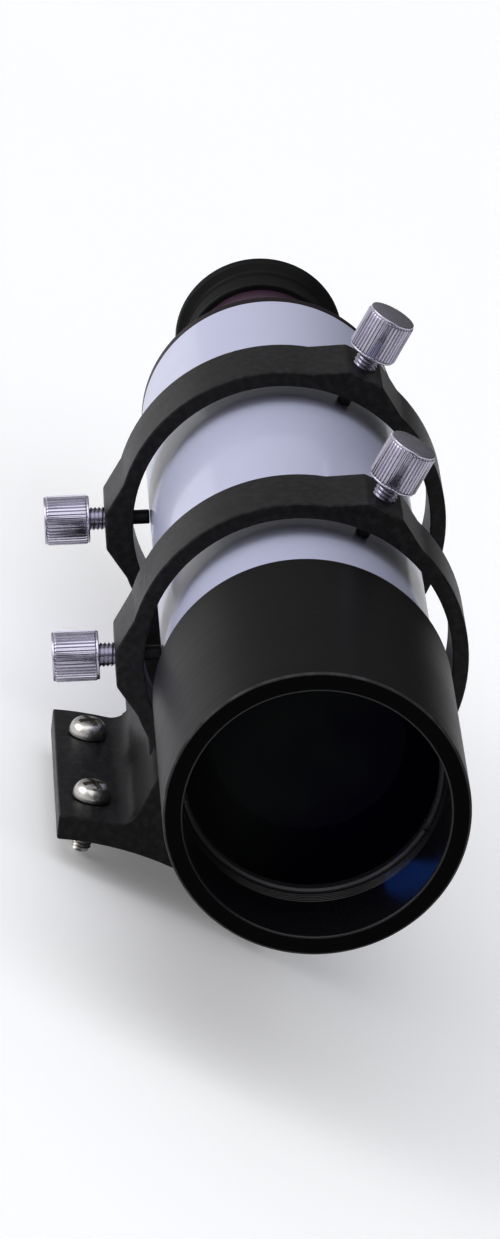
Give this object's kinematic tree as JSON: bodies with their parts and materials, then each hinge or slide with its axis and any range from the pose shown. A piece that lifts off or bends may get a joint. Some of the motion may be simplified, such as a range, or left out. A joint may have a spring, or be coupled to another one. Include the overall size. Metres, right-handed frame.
{
  "type": "finder scope",
  "caption": "Straight-through optical finder scope in a two-ring alignment bracket with knurled thumbscrews and a curved screw-down foot.",
  "frame": {"origin": "the crown of the foot's concave underside, on the bracket's middle plane, halfway along the foot", "axes": "+Z from the foot to the optical axis, away from the telescope that carries it; +Y along the optical axis from the objective to the eyepiece, so the objective faces -Y; +X to the right as seen from the objective end"},
  "size_m": [0.0904, 0.2562, 0.1113],
  "materials": {
    "bracket_paint": "satin",
    "screw_steel": "satin",
    "bright_plate": "polished",
    "tip_nylon": "matte",
    "tube_paint": "gloss",
    "cell_black": "satin",
    "ring_black": "satin",
    "coated_glass": "polished",
    "eyepiece_glass": "polished",
    "eyepiece_black": "satin",
    "reticle_brass": "satin",
    "crosshair_wire": "matte",
    "eyecup_rubber": "matte"
  },
  "bodies": {
    "bracket": {"bracket": "bracket_paint", "foot_screws": "screw_steel"},
    "tube": {"main_tube": "tube_paint", "rear_adapter": "eyepiece_black", "eyepiece_barrel": "eyepiece_black", "reticle_ring": "reticle_brass", "crosshair": "crosshair_wire", "eyepiece_lock_ring": "ring_black", "field_lens": "eyepiece_glass", "lens_spacer": "ring_black", "eye_flint_lens": "eyepiece_glass", "eye_crown_lens": "eyepiece_glass", "eyecup": "eyecup_rubber"},
    "objective_lenses": {"crown_lens": "coated_glass", "flint_lens": "coated_glass"},
    "objective_cell": {"objective_cell": "cell_black", "lens_retaining_ring": "ring_black"},
    "tip_front_top": {"tip_front_top": "tip_nylon"},
    "screw_front_top": {"thumbscrew_front_top": "bright_plate"},
    "tip_front_left": {"tip_front_left": "tip_nylon"},
    "screw_front_left": {"thumbscrew_front_left": "bright_plate"},
    "tip_front_right": {"tip_front_right": "tip_nylon"},
    "screw_front_right": {"thumbscrew_front_right": "bright_plate"},
    "tip_rear_top": {"tip_rear_top": "tip_nylon"},
    "screw_rear_top": {"thumbscrew_rear_top": "bright_plate"},
    "tip_rear_left": {"tip_rear_left": "tip_nylon"},
    "screw_rear_left": {"thumbscrew_rear_left": "bright_plate"},
    "tip_rear_right": {"tip_rear_right": "tip_nylon"},
    "screw_rear_right": {"thumbscrew_rear_right": "bright_plate"}
  },
  "joints": [
    {"name": "tube_tilt", "type": "hinge", "parent": "bracket", "child": "tube", "pos_m": [0, -0.019, 0.052], "axis": [1, 0, 0], "range_deg": [-1.2, 1.2]},
    {"name": "objective_focus", "type": "slide", "parent": "tube", "child": "objective_lenses", "axis": [0, -1, 0], "range_m": [-0.002, 0.003]},
    {"name": "objective_turn", "type": "hinge", "parent": "objective_lenses", "child": "objective_cell", "pos_m": [0, -0.073, 0.052], "axis": [0, -1, 0], "range_deg": [-970, 1450]},
    {"name": "front_top_feed", "type": "slide", "parent": "bracket", "child": "tip_front_top", "axis": [0, 0, 1], "range_m": [0, 0.003]},
    {"name": "front_top_turn", "type": "hinge", "parent": "tip_front_top", "child": "screw_front_top", "pos_m": [0, -0.019, 0.092], "axis": [0, 0, 1], "range_deg": [-5, 1355]},
    {"name": "front_left_feed", "type": "slide", "parent": "bracket", "child": "tip_front_left", "axis": [-0.866, 0, -0.5], "range_m": [0, 0.003]},
    {"name": "front_left_turn", "type": "hinge", "parent": "tip_front_left", "child": "screw_front_left", "pos_m": [-0.03464, -0.019, 0.032], "axis": [-0.866, 0, -0.5], "range_deg": [-5, 1355]},
    {"name": "front_right_feed", "type": "slide", "parent": "bracket", "child": "tip_front_right", "axis": [0.866, 0, -0.5], "range_m": [0, 0.003]},
    {"name": "front_right_turn", "type": "hinge", "parent": "tip_front_right", "child": "screw_front_right", "pos_m": [0.03464, -0.019, 0.032], "axis": [0.866, 0, -0.5], "range_deg": [-5, 1355]},
    {"name": "rear_top_feed", "type": "slide", "parent": "bracket", "child": "tip_rear_top", "axis": [0, 0, 1], "range_m": [-0.0016, 0.0016]},
    {"name": "rear_top_turn", "type": "hinge", "parent": "tip_rear_top", "child": "screw_rear_top", "pos_m": [0, 0.0527, 0.092], "axis": [0, 0, 1], "range_deg": [-680, 680]},
    {"name": "rear_left_feed", "type": "slide", "parent": "bracket", "child": "tip_rear_left", "axis": [-0.866, 0, -0.5], "range_m": [-0.0008, 0.0008]},
    {"name": "rear_left_turn", "type": "hinge", "parent": "tip_rear_left", "child": "screw_rear_left", "pos_m": [-0.03464, 0.0527, 0.032], "axis": [-0.866, 0, -0.5], "range_deg": [-340, 340]},
    {"name": "rear_right_feed", "type": "slide", "parent": "bracket", "child": "tip_rear_right", "axis": [0.866, 0, -0.5], "range_m": [-0.0008, 0.0008]},
    {"name": "rear_right_turn", "type": "hinge", "parent": "tip_rear_right", "child": "screw_rear_right", "pos_m": [0.03464, 0.0527, 0.032], "axis": [0.866, 0, -0.5], "range_deg": [-340, 340]}
  ],
  "couplings": [
    {"joint": "objective_turn", "follows": "objective_focus", "rad_per_m": 8377.6},
    {"joint": "front_top_turn", "follows": "front_top_feed", "rad_per_m": 7854},
    {"joint": "front_left_turn", "follows": "front_left_feed", "rad_per_m": 7854},
    {"joint": "front_right_turn", "follows": "front_right_feed", "rad_per_m": 7854},
    {"joint": "rear_top_feed", "follows": "tube_tilt", "m_per_rad": 0.0717},
    {"joint": "rear_top_turn", "follows": "tube_tilt", "ratio": 563.13},
    {"joint": "rear_left_feed", "follows": "tube_tilt", "m_per_rad": -0.03585},
    {"joint": "rear_left_turn", "follows": "tube_tilt", "ratio": -281.57},
    {"joint": "rear_right_feed", "follows": "tube_tilt", "m_per_rad": -0.03585},
    {"joint": "rear_right_turn", "follows": "tube_tilt", "ratio": -281.57}
  ]
}
